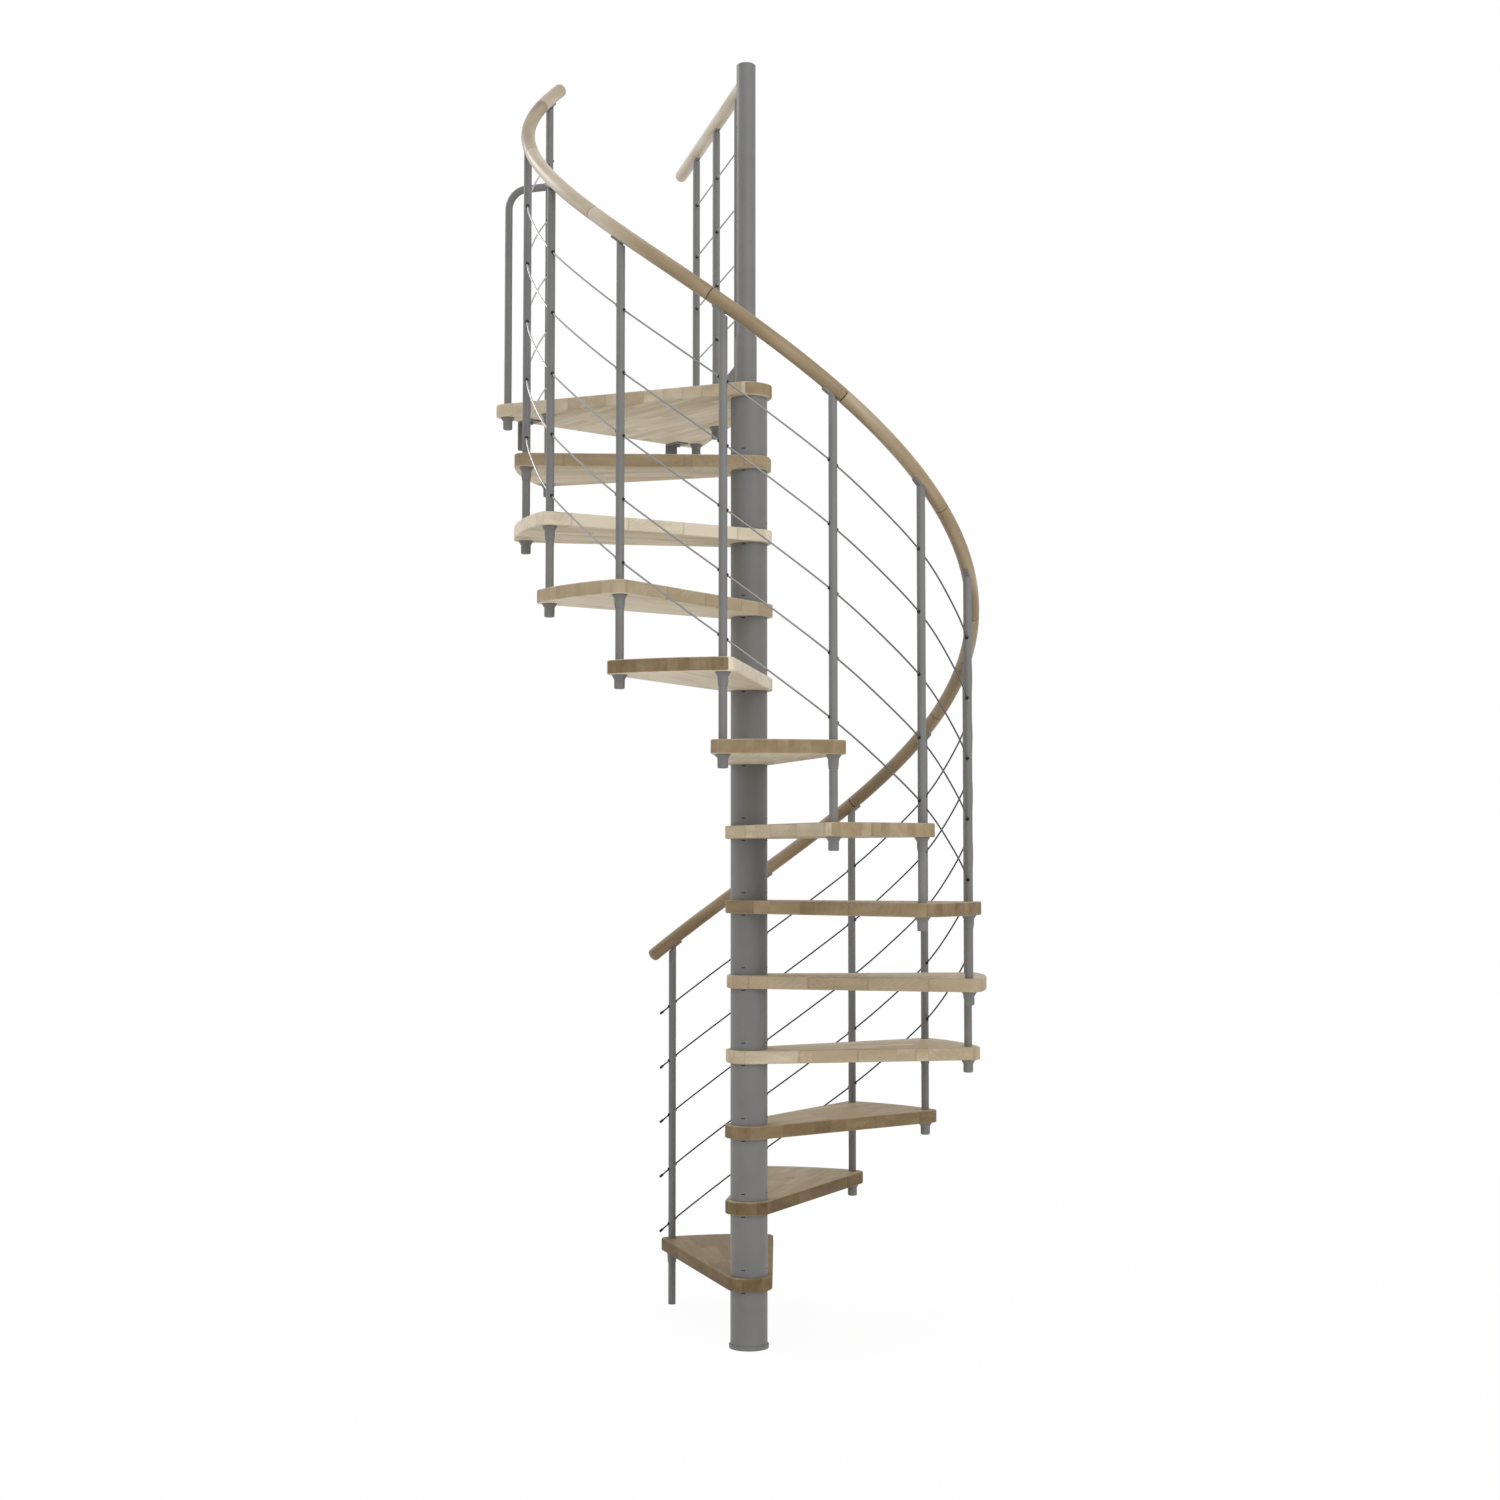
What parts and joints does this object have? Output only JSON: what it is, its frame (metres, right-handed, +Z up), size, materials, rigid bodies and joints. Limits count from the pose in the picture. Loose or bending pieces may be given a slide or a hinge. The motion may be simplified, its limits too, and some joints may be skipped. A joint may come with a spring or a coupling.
{
  "type": "spiral staircase",
  "caption": "Spiral staircase with a grey steel centre column, wedge-shaped stave-wood treads, a landing, round wooden handrails and rows of wire between steel balusters.",
  "frame": {"origin": "on the column's axis, on the underside of the floor flange", "axes": "+Z up the column; +Y is the direction that the first tread points close to; the flight climbs clockwise seen from above"},
  "size_m": [1.4698, 1.6336, 3.823],
  "materials": {
    "grey_steel": "satin grey powder coat",
    "stave_wood": "clear-lacquered hardwood staves",
    "rail_wood": "clear-lacquered turned hardwood",
    "wire_steel": "dull drawn steel",
    "cap_plastic": "black moulded plastic"
  },
  "bodies": {
    "root": {"base_flange": "grey_steel", "column_sleeves": "grey_steel", "tread_01": "stave_wood", "tread_02": "stave_wood", "tread_03": "stave_wood", "tread_04": "stave_wood", "tread_05": "stave_wood", "tread_06": "stave_wood", "tread_07": "stave_wood", "tread_08": "stave_wood", "tread_09": "stave_wood", "tread_10": "stave_wood", "tread_11": "stave_wood", "tread_12": "stave_wood", "landing": "stave_wood", "baluster_00": "grey_steel", "baluster_01": "grey_steel", "baluster_02": "grey_steel", "baluster_03": "grey_steel", "baluster_04": "grey_steel", "baluster_05": "grey_steel", "baluster_06": "grey_steel", "baluster_07": "grey_steel", "baluster_08": "grey_steel", "baluster_09": "grey_steel", "baluster_10": "grey_steel", "baluster_11": "grey_steel", "baluster_12": "grey_steel", "corner_loop": "grey_steel", "guard_balusters": "grey_steel", "landing_post": "grey_steel", "post_cap": "grey_steel", "spiral_handrail": "rail_wood", "guard_handrail": "rail_wood", "rail_wire_1": "wire_steel", "rail_wire_2": "wire_steel", "rail_wire_3": "wire_steel", "rail_wire_4": "wire_steel", "rail_wire_5": "wire_steel", "guard_wires": "wire_steel", "floor_brackets": "grey_steel", "baluster_ferrules": "grey_steel", "handrail_saddles": "grey_steel", "wire_end_caps": "cap_plastic"}
  },
  "joints": []
}
